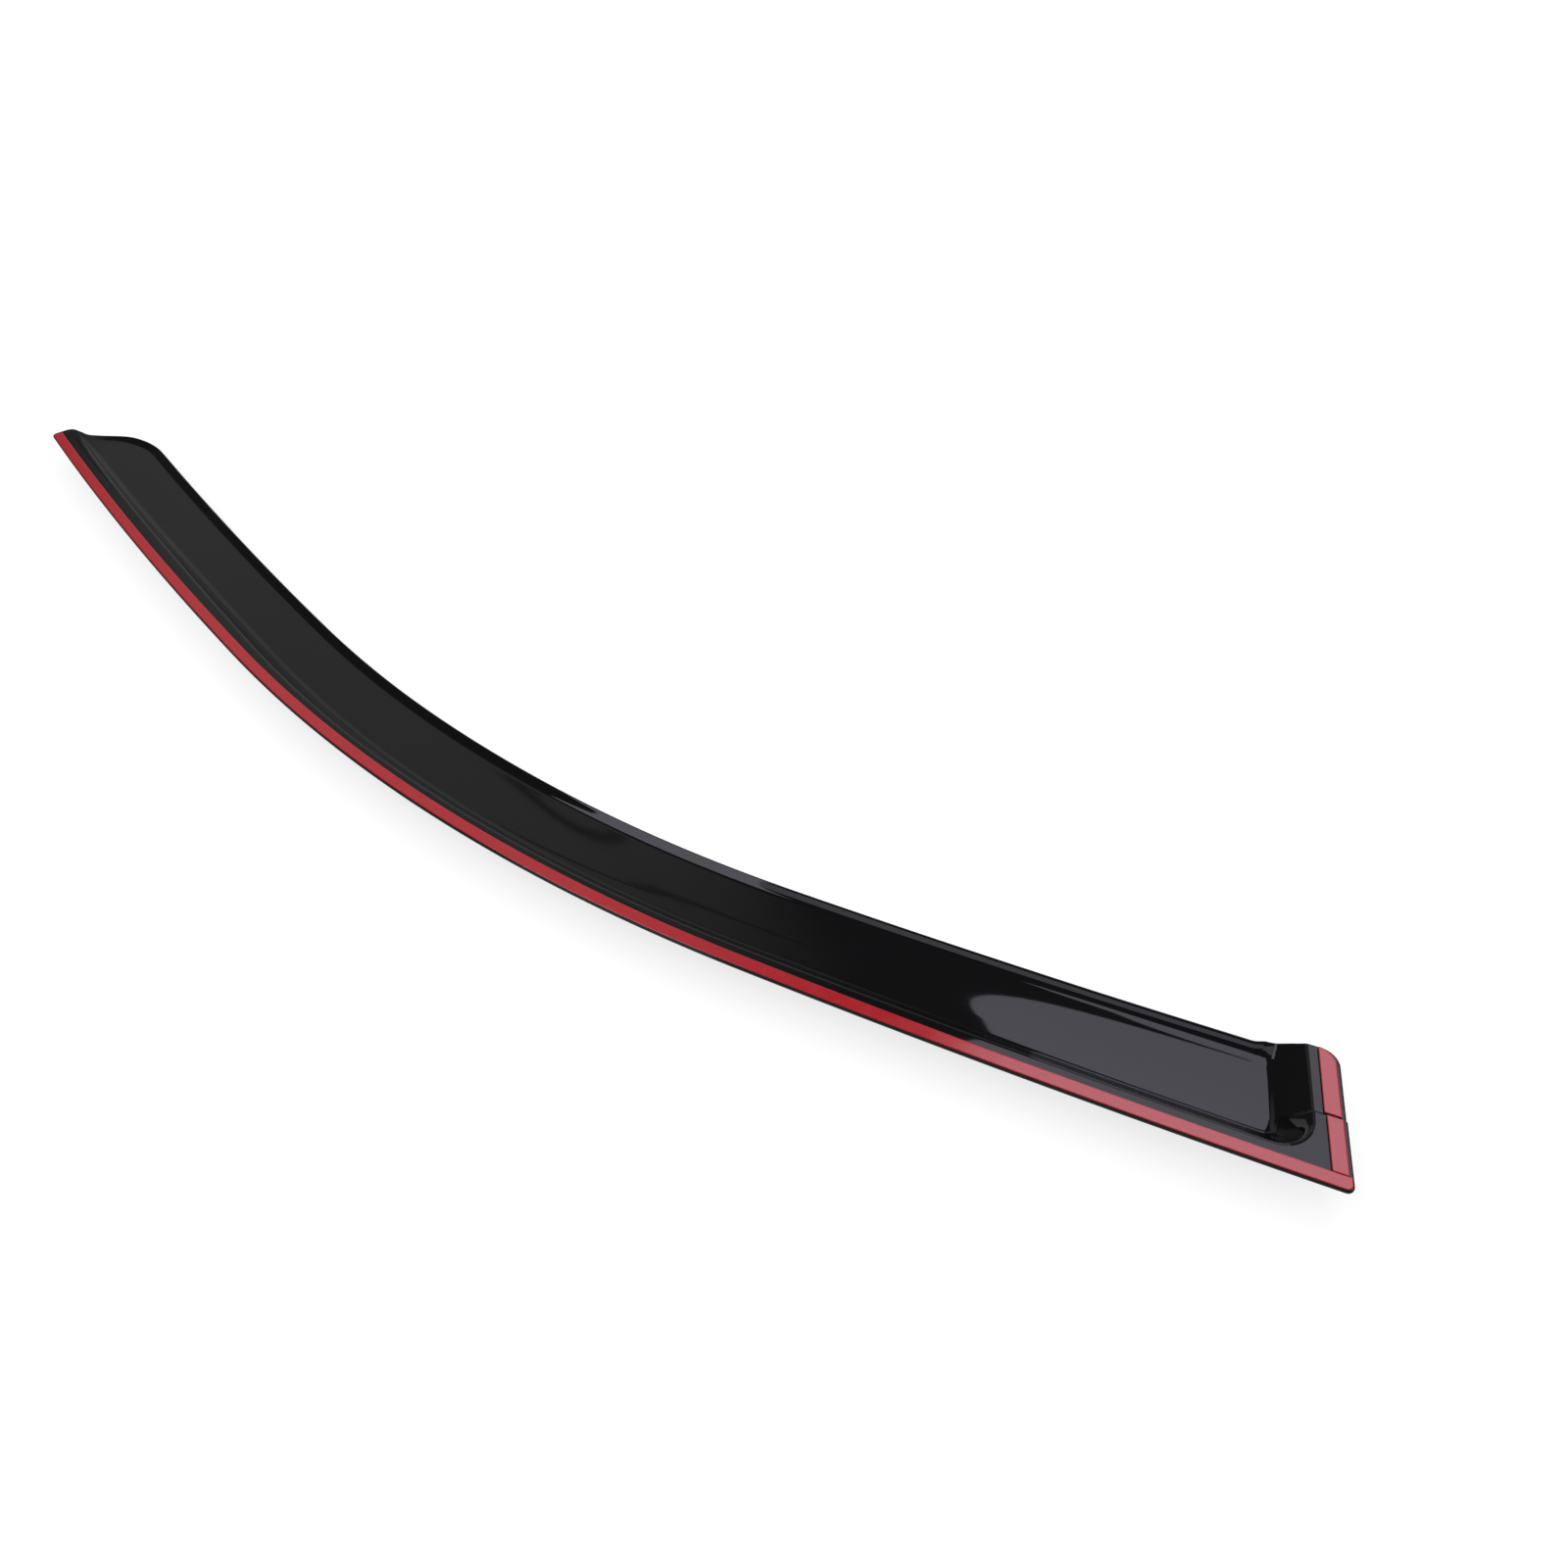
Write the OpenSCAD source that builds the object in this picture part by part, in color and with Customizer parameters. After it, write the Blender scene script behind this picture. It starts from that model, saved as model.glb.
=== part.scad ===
// Stick-on window rain deflector for a car's front door, lying on its outer face
// with the tape side up. The shell is one formed sheet: a flat flange that follows
// the door frame, a step wall, a trough floor, a turned-up lip and a closed rear end.
// All sizes are in millimetres. +X runs from the front tip to the rear corner and
// +Z points from the outer face to the tape side. The shell is laid out along its
// tape edge: s is the distance along that edge from the front, and n the distance
// inwards from it.

/* [Edge curve] */
// Length of the nearly straight front stretch of the tape edge
front_len = 320; // [240:5:380]
// Radius of the front stretch
front_r = 3800; // [2500:100:8000]
// Length of the bent middle stretch
mid_len = 403; // [320:1:460]
// Radius of the middle stretch
mid_r = 1030; // [850:10:1500]
// Length of the nearly straight rear stretch
rear_len = 299.7; // [240:0.1:360]
// Radius of the rear stretch
rear_r = 5100; // [3000:100:9000]

/* [Shell] */
// Thickness of the sheet
sheet_t = 2; // [1.7:0.1:3]
// Height of the flange's top face over the trough floor's top face
trough_depth = 17.3; // [12:0.1:24]
// Size of the eased corners along the sheet's cut edge
edge_ease = 0.6; // [0.2:0.05:0.8]
// Bare flange outside the long tape
tape_margin = 0.4; // [0.3:0.1:1.5]

/* [Width] */
// Width of the shell near the front
front_w = 57; // [48:0.5:66]
// Width of the shell halfway along
mid_w = 63.5; // [54:0.5:72]
// Width of the shell at the rear
rear_w = 71.4; // [60:0.1:80]
// Distance by which the rear tab reaches past the line of the lip
tab_reach = 1.5; // [0:0.1:6]
// Length over which the shell widens to the rear tab
tab_rise = 9; // [6:1:30]

/* [Flange] */
// Flange width near the front, up to the step
flange_front = 14.3; // [12.5:0.1:17]
// Flange width in the bend
flange_mid = 10.8; // [10:0.1:14]
// Flange width along the rear stretch
flange_rear = 12.1; // [10.5:0.1:15]
// Distance behind the front at which the flange starts to narrow
narrow_from = 170; // [100:5:230]
// Distance behind the front at which the flange has its width of the bend
narrow_to = 460; // [380:5:560]
// Distance behind the front at which the flange starts to widen again
widen_from = 600; // [560:5:680]
// Distance behind the front at which the flange has its rear width
widen_to = 900; // [800:5:960]
// Extra flange width at the front tip
flange_tip = 2.6; // [0:0.1:4]
// Distance over which that extra width fades
flange_fade = 30; // [15:1:50]
// Least width that the front tip keeps inside the flange
tip_land = 4; // [3:0.5:6]
// Width of the rear flange, up to the step of the end wall
end_flange = 14.5; // [13:0.1:20]

/* [Step wall] */
// Slope of the step wall along the front and the bend, in degrees
wall_slope = 57; // [45:0.5:62]
// Slope of the step wall along the rear and of the end wall, in degrees
end_slope = 52.5; // [42:0.5:60]
// Distance behind the front at which the slope starts to change
slope_from = 450; // [400:5:550]
// Distance behind the front at which the wall has its rear slope
slope_to = 750; // [650:5:900]
// Radius of the rounded top of the step
shoulder_r = 3; // [2.8:0.1:4]
// Radius of the hollow at the foot of the step
foot_r = 6; // [3:0.1:8]
// Radius of the trough's inner rear corner, seen from above
corner_r = 21; // [8:0.5:26]

/* [Trough] */
// Depth that the trough reaches close behind the front tip
tip_depth = 6.2; // [3:0.1:8]
// Distance over which it reaches that depth
tip_fade = 25; // [15:1:40]
// Distance behind the front of the edge curve at which the trough begins
trough_start = 5; // [2:0.5:10]
// Distance over which the rest of the depth sets in
deepen_fade = 40; // [20:1:80]
// Distance behind the front at which the trough is at its full depth
full_depth_at = 430; // [330:5:520]
// Rise of the floor towards the lip at the rear
floor_rise = 3.8; // [0:0.1:5]
// Distance behind the front at which the floor starts to rise
rise_from = 560; // [450:5:700]
// Distance behind the front at which the floor has its full rise
rise_to = 980; // [850:5:1000]

/* [Lip] */
// Width of the turned-up lip
lip_w = 6.2; // [4:0.1:9]
// Slope of the lip, in degrees
lip_slope = 36; // [20:1:50]
// Radius of the bend between floor and lip
lip_r = 5; // [3.5:0.1:8]
// Distance over which the lip sets in at the front
lip_fade = 45; // [20:1:80]

/* [Ends] */
// Length of flange in front of the edge curve
nose = 5.1; // [3:0.1:8]
// Width of the nose
nose_w = 15; // [13:0.1:18]
// Radius of the nose's outer corner
nose_r = 3.5; // [1.5:0.1:5]
// Radius of the nose's inner corner
nose_inner_r = 4; // [1:0.1:5]
// Distance of the notch behind the front
notch_at = 9; // [6:0.5:14]
// Width of the shell at the notch
notch_w = 21; // [18:0.2:24]
// Radius of the notch
notch_r = 14; // [6:0.5:18]
// Distance of the front shoulder's corner behind the front
shoulder_at = 36.3; // [32:0.1:50]
// Radius of the front shoulder
front_corner_r = 50; // [20:1:52]
// Lean of the rear edge, in degrees
rear_lean = 12.1; // [0:0.1:20]
// Length over which the stations turn to that lean
lean_reach = 110; // [80:5:150]
// Radius of the rear corner of the flange
rear_corner_r = 4; // [1.5:0.1:6]
// Radius of the rear tab's free corner
tab_r = 8; // [3:0.1:9]
// Distance of the joggle from the tape edge, across the shell
joggle_at = 35.7; // [30:0.1:40]
// Width of the joggle's slope
joggle_w = 1.6; // [1:0.1:3]
// Drop of the rear flange past the joggle
joggle_drop = 1.4; // [0.5:0.1:2]

/* [Tape] */
// Width of the long tape
tape_w = 6.6; // [5:0.1:8]
// Width of the tape at the rear corner
corner_tape_w = 7.3; // [6:0.1:8.5]
// Width of the tape on the rear tab
end_tape_w = 7.8; // [6:0.1:8.5]
// Bare flange in front of the long tape
front_margin = 3; // [0.5:0.1:4]
// Bare flange behind the two rear tapes
rear_margin = 1.6; // [1:0.1:3]
// Thickness of the foam
foam_t = 1; // [0.5:0.1:1.5]
// Thickness of the peel-off film
liner_t = 0.2; // [0.1:0.05:0.4]
// Gap between neighbouring tapes
tape_gap = 0.3; // [0.1:0.05:1]
// Radius of the tapes' cut corners
tape_corner_r = 0.3; // [0.1:0.05:0.6]

/* [Hidden] */

// Numbers of steps over the flange's corner, round the shoulder and the foot, up the wall, over floor and lip
EDGE_LINES = 3;
ARC_STEPS = 3;
WALL_STEPS = 3;
FLOOR_STEPS = 4;
LIP_STEPS = 4;
// Numbers of steps round the front outline's bends and the tapes' corners
BEND_STEPS = 14;
CORNER_STEPS = 6;
// Distances between stations at the nose, the front, the front shoulder, the middle and the rear
NOSE_STEP = 1.5;
FRONT_STEP = 4;
SHOULDER_STEP = 8;
STATION = 15;
REAR_STEP = 2;
TAPE_STEP = 14;
// Least depth of the trough, and least depth that the lines of the step are spaced for
TINY = 0.05;
LEAST_STEP = 1.2;
// Largest share of the step's height that its two bends take up
BEND_SHARE = 0.85;
// Largest share of the trough's depth that the lip takes up
LIP_RISE_SHARE = 0.45;
// Largest share of the width past the step that the lip takes up
LIP_SHARE = 0.4;
// Largest share of the tape's width that the lines of the flange's corner take up
CORNER_SHARE = 0.8;
RAD = 180 / PI;

curve_len = front_len + mid_len + rear_len;
flange_z = sheet_t + trough_depth;
tape_z = flange_z + foam_t;

// Smooth step from 0 to 1
function ramp(t) = let(c = min(1, max(0, t))) c * c * (3 - 2 * c);
function ramp_between(x, a, b) = ramp((x - a) / (b - a));
function mix(a, b, t) = a + (b - a) * t;
function unit(v) = v / norm(v);

// Tape edge: three tangent arcs, turned so that both ends lie on one line along X
function swing(a, b, r) = r * [sin(b) - sin(a), cos(a) - cos(b)];
mid_a = front_len / front_r * RAD;
rear_a = mid_a + mid_len / mid_r * RAD;
mid_p = swing(0, mid_a, front_r);
rear_p = mid_p + swing(mid_a, rear_a, mid_r);
end_p = rear_p + swing(rear_a, rear_a + rear_len / rear_r * RAD, rear_r);
turn = atan2(end_p[1], end_p[0]);

function edge_angle(s) =
    s < front_len ? s / front_r * RAD :
    s < front_len + mid_len ? mid_a + (s - front_len) / mid_r * RAD :
    rear_a + (s - front_len - mid_len) / rear_r * RAD;

function edge_point(s) =
    let(a = edge_angle(s))
    s < front_len ? swing(0, a, front_r) :
    s < front_len + mid_len ? mid_p + swing(mid_a, a, mid_r) :
    rear_p + swing(rear_a, a, rear_r);

function turned(p, a) = [p[0] * cos(a) - p[1] * sin(a), p[0] * sin(a) + p[1] * cos(a)];

// Place of a point s along the tape edge and n inwards from it
function chart(s, n) =
    let(a = edge_angle(s))
    turned(edge_point(s) + n * [-sin(a), cos(a)], -turn);

// Arc of radius r that rounds the corner b between a and c
function corner_arc(a, b, c, r, steps) =
    let(u = unit(a - b), v = unit(c - b), half = acos(u * v) / 2, m = b + unit(u + v) * r / sin(half),
        p = b + u * r / tan(half), q = b + v * r / tan(half),
        a0 = atan2(p[1] - m[1], p[0] - m[0]), a1 = atan2(q[1] - m[1], q[0] - m[0]),
        d = a1 - a0 > 180 ? a1 - a0 - 360 : a1 - a0 < -180 ? a1 - a0 + 360 : a1 - a0)
    [for (i = [0:steps]) m + r * [cos(a0 + d * i / steps), sin(a0 + d * i / steps)]];

// Distance along the shell of the rear edge, and distance inwards from that edge
function rear_line(n) = curve_len - n * tan(rear_lean);
function from_rear(s, n) = (rear_line(n) - s) * cos(rear_lean);

// Width of the shell from the tape edge to the edge of the lip, as one smooth curve
function plain_width(s) =
    let(t = s / curve_len, pull = 2 * mid_w - (front_w + rear_w) / 2)
    (1 - t) * (1 - t) * front_w + 2 * t * (1 - t) * pull + t * t * rear_w;

// The same width with the S-shaped front and the rear tab
notch_p = [notch_at, notch_w];
shoulder_p = [shoulder_at, plain_width(shoulder_at)];
past_p = [2 * shoulder_at, plain_width(2 * shoulder_at)];
nose_p = [-nose, nose_w];
front_line = concat([nose_p], corner_arc(nose_p, notch_p, shoulder_p, notch_r, BEND_STEPS),
                    corner_arc(notch_p, shoulder_p, past_p, front_corner_r, BEND_STEPS));
front_end = front_line[len(front_line) - 1][0];
tab_from = rear_line(rear_w) - end_flange - tab_rise;

function width(s) =
    s < front_end ? lookup(s, front_line) :
    plain_width(s) + tab_reach * ramp((s - tab_from) / tab_rise);

// Width of the flange up to the corner of the step
function flange(s) =
    let(front = mix(flange_front, flange_mid, ramp_between(s, narrow_from, narrow_to)),
        plain = mix(front, flange_rear, ramp_between(s, widen_from, widen_to)))
    min(plain + flange_tip * exp(-max(0, s) / flange_fade), width(s) - tip_land);

// Depth of the trough floor and slope of the step wall
function depth(s) =
    let(x = max(0, s - trough_start), tip = tip_depth * (1 - exp(-x / tip_fade)),
        rest = (trough_depth - tip_depth) * ramp(s / full_depth_at) * ramp(x / deepen_fade))
    max(TINY, tip + rest);
function slope(s) = mix(wall_slope, end_slope, ramp_between(s, slope_from, slope_to));

// Step wall: a rounded shoulder, a straight slope and a hollow foot. x is measured
// from the corner of the step, and the radii shrink where the step is low
function step_k(d, a) = min(1, BEND_SHARE * d / ((shoulder_r + foot_r) * (1 - cos(a))));
function step_run(d, a) = d / tan(a);
function foot_end(d, a) = step_run(d, a) + foot_r * step_k(d, a) * tan(a / 2);

function step_depth(x, d, a) =
    let(k = step_k(d, a), rs = shoulder_r * k, rf = foot_r * k, ts = rs * tan(a / 2),
        end = foot_end(d, a))
    x <= -ts ? 0 :
    x < -ts + rs * sin(a) ? rs - sqrt(rs * rs - (x + ts) * (x + ts)) :
    x < end - rf * sin(a) ? x * tan(a) :
    x < end ? d - rf + sqrt(rf * rf - (end - x) * (end - x)) : d;

function step_places(d, a) =
    let(k = step_k(d, a), rs = shoulder_r * k, rf = foot_r * k, ts = rs * tan(a / 2),
        end = foot_end(d, a), x0 = -ts + rs * sin(a), x1 = end - rf * sin(a))
    concat([for (i = [0:ARC_STEPS]) -ts + rs * sin(a * i / ARC_STEPS)],
           [for (i = [1:WALL_STEPS]) mix(x0, x1, i / (WALL_STEPS + 1))],
           [for (i = [0:ARC_STEPS]) end - rf * sin(a * (1 - i / ARC_STEPS))]);

// Rise of the lip at distance g from its edge
lip_arc = lip_r * sin(lip_slope);
function lip_rise(g) =
    let(x = lip_w - g)
    x <= 0 ? 0 :
    x < lip_arc ? lip_r - sqrt(lip_r * lip_r - x * x) :
    lip_r * (1 - cos(lip_slope)) + (x - lip_arc) * tan(lip_slope);

// Distance inside the trough's top outline, whose rear corner is round
function inside(s, n) =
    let(a = n - flange(s), b = from_rear(s, n) - end_flange)
    a < corner_r && b < corner_r ? corner_r - norm([corner_r - a, corner_r - b]) : min(a, b);

// Share of the joggle's drop at distance n from the tape edge
function joggle(n) = ramp((n - joggle_at) / joggle_w + 0.5);

// Depth of the shell's top face under the flange plane
function top_depth(s, n) =
    let(d = depth(s), base = step_depth(inside(s, n), d, slope(s)) / d, drop = joggle_drop * joggle(n),
        w = width(s), lean = (width(s + 1) - width(s - 1)) / 2,
        lip = lip_rise((w - n) / sqrt(1 + lean * lean)) * ramp((s - trough_start) / lip_fade),
        floor_x = min(1, max(0, (n - w / 2) / (w / 2 - lip_w))),
        rise = floor_rise * ramp_between(s, rise_from, rise_to) * floor_x * floor_x)
    drop + base * (d - drop - min(lip + rise, LIP_RISE_SHARE * d));

// Stations along the shell: close together at the nose, at the tip and at the end wall
function spread(a, b, step) = let(k = ceil((b - a) / step)) [for (i = [0:k - 1]) mix(a, b, i / k)];
wall_places = step_places(trough_depth, end_slope);
wall_stations = [for (i = [len(wall_places) - 1:-1:0])
                 curve_len - (end_flange + wall_places[i]) / cos(rear_lean)];
last_floor = wall_stations[0] - REAR_STEP;
stations = concat(spread(-nose, notch_at, NOSE_STEP), spread(notch_at, shoulder_at, FRONT_STEP),
                  spread(shoulder_at, front_end, SHOULDER_STEP), spread(front_end, last_floor, STATION),
                  [last_floor], wall_stations,
                  spread(wall_stations[len(wall_stations) - 1] + REAR_STEP / 2, curve_len, REAR_STEP), [curve_len]);

// Lines across the shell at one station
first_line = edge_ease - tape_margin;
corner_reach = min(rear_corner_r - edge_ease, CORNER_SHARE * tape_w);
rear_foot = flange_rear + foot_end(trough_depth, end_slope);
rear_flat = width(curve_len) - edge_ease - lip_w - rear_foot;
joggle_shares = [for (j = [-joggle_w / 2, 0, joggle_w / 2 + tape_gap / 2]) (joggle_at + j - rear_foot) / rear_flat];
function lines(s) =
    let(w = width(s) - edge_ease, f = flange(s), d = max(LEAST_STEP, depth(s)), a = slope(s),
        foot = f + foot_end(d, a), lw = min(lip_w, (w - foot) * LIP_SHARE), flat = w - lw - foot)
    concat([for (i = [0:EDGE_LINES]) first_line + corner_reach * i / EDGE_LINES], [tape_w],
           [for (x = step_places(d, a)) f + x],
           [for (p = joggle_shares) foot + flat * p],
           [for (i = [1:FLOOR_STEPS]) foot + flat * mix(joggle_shares[2], 1, i / FLOOR_STEPS)],
           [for (i = [1:LIP_STEPS]) w - lw * (1 - i / LIP_STEPS)]);

// Shift inwards that rounds a corner of the sheet, as a square is drawn to a disc. x and
// y are the distances from the corner's two edges, and r its radius inside the eased rim
function pull(x, y, r) =
    x >= r || y >= r ? [0, 0] :
    let(a = 1 - x / r, b = 1 - y / r) r * [a - a * sqrt(1 - b * b / 2), b - b * sqrt(1 - a * a / 2)];
function nose_outer(u, n) = pull(u + nose, n - first_line, nose_r - edge_ease);
function nose_inner(u, g) = pull(u + nose, g, nose_inner_r - edge_ease);
function rear_outer(u, n) = pull(curve_len - u, n - first_line, rear_corner_r - edge_ease);
function rear_tab(u, g) = pull(curve_len - u, g, tab_r - edge_ease);

// Point of the top face. Stations turn to the rear edge's lean as they near it
function shell_point(u, n) =
    let(g = width(u) - edge_ease - n, a = nose_outer(u, n), b = nose_inner(u, g), c = rear_outer(u, n),
        d = rear_tab(u, g), u2 = u + a[0] + b[0] - c[0] - d[0], held = b + d == [0, 0],
        n2 = n + a[1] + c[1] - b[1] - d[1] + (held ? 0 : width(u2) - width(u)),
        lean = tan(rear_lean) * ramp((u - wall_stations[0]) / lean_reach + 1), p = chart(u2 - n2 * lean, n2))
    [p[0], p[1], flange_z - top_depth(u - n * lean, n)];

shell_top = [for (u = stations) [for (n = lines(u)) shell_point(u, n)]];
rows = len(shell_top);
cols = len(shell_top[0]);

// Unit normal of the top face at a grid point, from its neighbours
function face_normal(i, j) =
    let(along = shell_top[min(i + 1, rows - 1)][j] - shell_top[max(i - 1, 0)][j],
        across = shell_top[i][min(j + 1, cols - 1)] - shell_top[i][max(j - 1, 0)])
    unit(cross(along, across));
shell_low = [for (i = [0:rows - 1]) [for (j = [0:cols - 1]) shell_top[i][j] - sheet_t * face_normal(i, j)]];

// Grid places round the rim, anticlockwise seen from above
rim = concat([for (i = [0:rows - 2]) [i, 0]], [for (j = [0:cols - 2]) [rows - 1, j]],
             [for (i = [rows - 1:-1:1]) [i, cols - 1]], [for (j = [cols - 1:-1:1]) [0, j]]);
function outwards(g) =
    let(i = min(max(g[0], 1), rows - 2), j = min(max(g[1], 1), cols - 2))
    unit(shell_top[g[0]][g[1]] - shell_top[i][j]);
function rim_ring(t) =
    [for (g = rim) mix(shell_top[g[0]][g[1]], shell_low[g[0]][g[1]], t) + edge_ease * outwards(g)];

module visor() {
    grid = rows * cols;
    ring = len(rim);
    ease = edge_ease / sheet_t;
    points = concat([for (r = shell_top) each r], [for (r = shell_low) each r],
                    rim_ring(ease), rim_ring(1 - ease));
    sheet = [for (i = [0:rows - 2], j = [0:cols - 2])
             let(a = i * cols + j, b = a + cols) each [[a, a + 1, b + 1], [a, b + 1, b]]];
    under = [for (f = sheet) [f[0] + grid, f[2] + grid, f[1] + grid]];
    top_rim = [for (g = rim) g[0] * cols + g[1]];
    low_rim = [for (g = top_rim) g + grid];
    ring_a = [for (k = [0:ring - 1]) 2 * grid + k];
    ring_b = [for (k = ring_a) k + ring];
    belts = [for (pair = [[top_rim, ring_a], [ring_a, ring_b], [ring_b, low_rim]]) for (k = [0:ring - 1])
             let(m = (k + 1) % ring, p = pair[0], q = pair[1])
             each [[p[k], p[m], q[m]], [p[k], q[m], q[k]]]];
    color([0.07, 0.07, 0.08]) translate(-home) polyhedron(points = points, faces = concat(sheet, under, belts));
}

// Middle of the shell's footprint, which the origin is set under
all_x = [for (r = shell_top) for (p = r) p[0]];
all_y = [for (r = shell_top) for (p = r) p[1]];
home = [(min(all_x) + max(all_x)) / 2, (min(all_y) + max(all_y)) / 2, 0];

// Closed outline through corners [s, n, radius], with long sides cut into short chords
function outline(c) =
    let(k = len(c), arcs = [for (i = [0:k - 1])
        let(a = c[(i + k - 1) % k], b = c[i], d = c[(i + 1) % k])
        corner_arc([a[0], a[1]], [b[0], b[1]], [d[0], d[1]], b[2], CORNER_STEPS)])
    [for (i = [0:k - 1]) let(p = arcs[i], q = arcs[(i + 1) % k][0], e = p[len(p) - 1],
        m = max(1, ceil(norm(q - e) / TAPE_STEP)))
        each concat(p, [for (t = [1:1:m - 1]) mix(e, q, t / m)])];

module strip(corners, z, t)
    translate([-home[0], -home[1], z]) linear_extrude(t)
        polygon([for (p = outline(corners)) chart(p[0], p[1])]);

// Tape corner at distance e inwards from the rear edge and n across the shell
function at_rear(e, n, r = tape_corner_r) = [rear_line(n) - e / cos(rear_lean), n, r];

long_tape = [[-nose + front_margin, 0, max(tape_corner_r, nose_r - front_margin)],
             at_rear(tape_margin, 0, rear_corner_r - tape_margin),
             at_rear(tape_margin, tape_w), [-nose + front_margin, tape_w, tape_corner_r]];

corner_tape_in = rear_margin + corner_tape_w;
corner_tape_from = tape_w + tape_gap;
corner_tape_to = joggle_at - joggle_w / 2 - tape_gap / 2;
corner_tape = [at_rear(corner_tape_in, corner_tape_from), at_rear(rear_margin, corner_tape_from),
               at_rear(rear_margin, corner_tape_to), at_rear(corner_tape_in, corner_tape_to)];

end_tape_in = rear_margin + end_tape_w;
end_tape_from = joggle_at + joggle_w / 2 + tape_gap / 2;
end_tape_to = width(curve_len) - tape_margin - edge_ease;
end_tape_r = tab_r - tape_margin - edge_ease;
end_tape = [at_rear(end_tape_in, end_tape_from), at_rear(rear_margin, end_tape_from),
            at_rear(rear_margin, end_tape_to, end_tape_r), at_rear(end_tape_in, end_tape_to)];

FOAM = [0.12, 0.12, 0.13];
FILM = [0.72, 0.14, 0.17];

module top_tape_foam() color(FOAM) strip(long_tape, flange_z, foam_t);
module top_tape_liner() color(FILM) strip(long_tape, tape_z, liner_t);
module rear_corner_foam() color(FOAM) strip(corner_tape, flange_z, foam_t);
module rear_corner_liner() color(FILM) strip(corner_tape, tape_z, liner_t);
module rear_end_foam() color(FOAM) strip(end_tape, flange_z - joggle_drop, foam_t);
module rear_end_liner() color(FILM) strip(end_tape, tape_z - joggle_drop, liner_t);

visor();
top_tape_foam();
top_tape_liner();
rear_corner_foam();
rear_corner_liner();
rear_end_foam();
rear_end_liner();
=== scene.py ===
import math

import bmesh
import bpy
import numpy as np
from bpy.props import FloatProperty, FloatVectorProperty, PointerProperty
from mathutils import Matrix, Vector


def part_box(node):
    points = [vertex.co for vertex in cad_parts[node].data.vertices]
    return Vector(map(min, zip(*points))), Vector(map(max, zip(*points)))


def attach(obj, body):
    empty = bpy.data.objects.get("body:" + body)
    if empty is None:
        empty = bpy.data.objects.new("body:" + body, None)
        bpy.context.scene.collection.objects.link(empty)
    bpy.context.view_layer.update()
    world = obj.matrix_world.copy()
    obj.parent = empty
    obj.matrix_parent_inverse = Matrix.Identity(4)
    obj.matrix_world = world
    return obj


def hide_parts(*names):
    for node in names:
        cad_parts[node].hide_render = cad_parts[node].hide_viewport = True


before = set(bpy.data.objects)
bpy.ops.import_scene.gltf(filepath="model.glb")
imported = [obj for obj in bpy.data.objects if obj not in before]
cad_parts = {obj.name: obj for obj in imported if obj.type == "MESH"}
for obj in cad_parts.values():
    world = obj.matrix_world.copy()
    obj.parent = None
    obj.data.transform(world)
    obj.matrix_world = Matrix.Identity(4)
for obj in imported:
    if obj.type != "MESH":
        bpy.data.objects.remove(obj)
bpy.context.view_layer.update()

MM = 0.001

bl_info = {
    "name": "Window Rain Deflector",
    "version": (1, 0, 0),
    "blender": (4, 5, 0),
    "location": "3D View > Sidebar > Deflector",
    "description": "Dresses a formed gloss black rain deflector with its foam tapes, "
                   "peel films and studio",
    "category": "Object",
}

# Finer steps than the solid has, so that reflections run smoothly over the sheet
NOSE_STEP = 1 * MM
FRONT_STEP = 2 * MM
STATION = 2.5 * MM
REAR_STEP = 1.2 * MM
EDGE_LINES = 4
ARC_LINES = 14
WALL_LINES = 8
FLOOR_LINES = 12
JOGGLE_LINES = 8
LIP_LINES = 8
BEND_STEPS = 24
RIM_RINGS = 3

# How far the joggle's lines reach to each side of its middle, as a share of its width, and the
# distance under which points count as one
JOGGLE_REACH = 0.75
MERGE_DISTANCE = 0.002 * MM

# Steps along and across the tapes, how finely their rolled edges, round corners and cut sides
# are drawn, and the least radius and the share of the width for which a corner gets its own steps
TAPE_STEP = 4 * MM
CROSS_STEP = 1 * MM
ROLL_STEPS = 3
CORNER_STEPS = 5
SIDE_RINGS = 4
LARGE_CORNER = 1 * MM
HALF_REACH = 0.48

# Edges of the tapes that turn by more than this stay sharp
FOAM_SMOOTH = math.radians(40)
FILM_SMOOTH = math.radians(60)

# Shares and least values that the solid uses as well
TINY = 0.05 * MM
LEAST_STEP = 1.2 * MM
BEND_SHARE = 0.85
LIP_RISE_SHARE = 0.45
LIP_SHARE = 0.4

# How strongly the surfaces reflect, and the middle range that noise values run over
ACRYLIC_IOR = 1.49
FILM_IOR = 1.75
NOISE_LOW, NOISE_HIGH = 0.3, 0.7

# The floor: its size, its gap under the part, its grey, and how far it is lifted to white where
# the camera sees it and where the part reflects it
FLOOR_SIZE = 8.0
FLOOR_GAP = 0.2 * MM
FLOOR_GREY = 0.3
FLOOR_LIFT = 0.74
FLOOR_SHINE = 0.18

# The lit patches of ceiling and wall in reflections, by turn from +Y, rise and reach in degrees.
# A patch is at its full brightness where the cosine to its middle passes the core value.
CEILING_PATCH = (-58.0, 43.0, 20.5)
WALL_PATCH = (-45.0, 16.0, 26.0)
PATCH_CORE = 0.996

# The dark beam across the ceiling: the way square to it, and where its edge starts and ends
CEILING_BEAM = (0.13, 1.0, -0.503)
BEAM_EDGE = (0.001, 0.004)

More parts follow.
